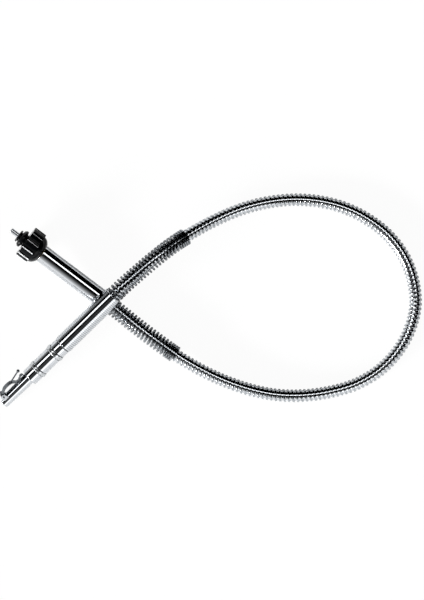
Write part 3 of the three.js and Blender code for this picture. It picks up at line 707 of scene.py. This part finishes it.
tree.links.new(shader.outputs["BSDF"], surface)
add_piece("grip", grip, lined_chrome, "root", "polished_chrome", "grip_tube")

# ---- table and light ------------------------------------------------------------------------
# A plain white table that runs out of view, in a room that is dark but for a long strip light
# over the release, a small strong key light low at the left, a weak fill at the right, and
# pale walls near and at the left. The world is this room, drawn by direction.

table_reach = 8
white_to_camera, white_to_metal = 0.95, 0.04  # how much of the table's white is its own glow
floor = bmesh.new()
bmesh.ops.create_grid(floor, x_segments=1, y_segments=1, size=table_reach)
floor_mesh = bpy.data.meshes.new("table")
floor.to_mesh(floor_mesh)
floor.free()
table = bpy.data.objects.new("table", floor_mesh)
scene.collection.objects.link(table)
# Matt white table top. It glows nearly plain white to the camera, which still leaves a faint
# shadow, and only a little to metal, so that the chrome keeps its black bands.
white_table, tree, surface = new_material("white_table")
rays = add_node(tree, "LightPath")
metal = add_node(tree, "Math", {"operation": "MAXIMUM"},
                 links={0: rays.outputs["Is Glossy Ray"], 1: rays.outputs["Is Transmission Ray"]})
metal = add_node(tree, "Math", {"operation": "MULTIPLY"}, values={1: white_to_metal},
                 links={0: metal.outputs[0]})
share = add_node(tree, "Math", {"operation": "MULTIPLY_ADD"}, values={1: white_to_camera},
                 links={0: rays.outputs["Is Camera Ray"], 2: metal.outputs[0]})
matt = add_node(tree, "BsdfDiffuse", values={"Color": linear("FCFCFC")})
glow = add_node(tree, "Emission", values={"Color": (1, 1, 1, 1), "Strength": 1})
mixed = add_node(tree, "MixShader", links={0: share.outputs[0], 1: matt.outputs[0],
                                           2: glow.outputs[0]})
tree.links.new(mixed.outputs[0], surface)
floor_mesh.materials.append(white_table)

world = bpy.data.worlds.new("studio")
scene.world = world
world.use_nodes = True
tree = world.node_tree
tree.nodes.clear()
place = add_node(tree, "TexCoord")
way = add_node(tree, "SeparateXYZ", links={0: place.outputs["Generated"]})
height = add_node(tree, "Math", {"operation": "MAXIMUM"}, values={1: 0.02},
                  links={0: way.outputs["Z"]})
# Where a ray meets a ceiling one unit up.
across, along = (add_node(tree, "Math", {"operation": "DIVIDE"},
                          links={0: way.outputs[name], 1: height.outputs[0]})
                 for name in ("X", "Y"))
# Soft boxes: [X, half its width, Y, half its length, softness of its edges, strength].
lights = []
for x, half_x, y, half_y, soft, strength in (
        (-0.05, 0.57, 0.21, 0.11, 0.015, 3.3),  # the strip over the release
        (-0.73, 0.16, 0.17, 0.15, 0.02, 3.3),  # its wide end
        (-3.3, 0.9, -2.1, 0.75, 0.1, 185),  # the key light, low at the left
        (0.75, 0.55, -1.35, 0.6, 0.1, 2.2)):  # a fill at the right
    sides = []
    for spot, centre, half in ((across, x, half_x), (along, y, half_y)):
        offset = add_node(tree, "Math", {"operation": "SUBTRACT"}, values={1: centre},
                          links={0: spot.outputs[0]})
        offset = add_node(tree, "Math", {"operation": "ABSOLUTE"}, links={0: offset.outputs[0]})
        sides.append(add_node(tree, "MapRange", values={
            "From Min": half - soft, "From Max": half + soft, "To Min": 1, "To Max": 0},
            links={"Value": offset.outputs[0]}))
    box = add_node(tree, "Math", {"operation": "MULTIPLY"}, values={1: strength},
                   links={0: sides[0].outputs[0]})
    lights.append(add_node(tree, "Math", {"operation": "MULTIPLY"},
                           links={0: box.outputs[0], 1: sides[1].outputs[0]}))
# Walls that get lighter: [along what, from, to, and the same for the other, strength].
for first, low, high, second, near, far, strength in (
        (along, -1.8, -2.4, across, -99, -98, 1.3),  # the near wall
        (across, -1.9, -2.4, along, 0.9, 0.3, 1.1),  # the left wall
        (across, -1.9, -2.6, along, 0.3, 0.9, 0.25),  # its far end, in shade
        (along, -0.15, -1.8, across, 0.1, -0.4, 0.95)):  # the ceiling on the near left
    rises = [add_node(tree, "MapRange", values={"From Min": start, "From Max": end},
                      links={"Value": spot.outputs[0]})
             for spot, start, end in ((first, low, high), (second, near, far))]
    wall = add_node(tree, "Math", {"operation": "MULTIPLY"}, values={1: strength},
                    links={0: rises[0].outputs[0]})
    lights.append(add_node(tree, "Math", {"operation": "MULTIPLY"},
                           links={0: wall.outputs[0], 1: rises[1].outputs[0]}))
total = lights[0]
for light in lights[1:]:
    total = add_node(tree, "Math", {"operation": "MAXIMUM"},
                     links={0: total.outputs[0], 1: light.outputs[0]})
sky = add_node(tree, "Background", links={"Color": total.outputs[0]})
backdrop = add_node(tree, "Background", values={"Color": (1, 1, 1, 1), "Strength": 1})
rays = add_node(tree, "LightPath")
both = add_node(tree, "MixShader", links={0: rays.outputs["Is Camera Ray"],
                                          1: sky.outputs[0], 2: backdrop.outputs[0]})
add_node(tree, "OutputWorld", links={"Surface": both.outputs[0]})

scene.view_settings.view_transform = "Standard"
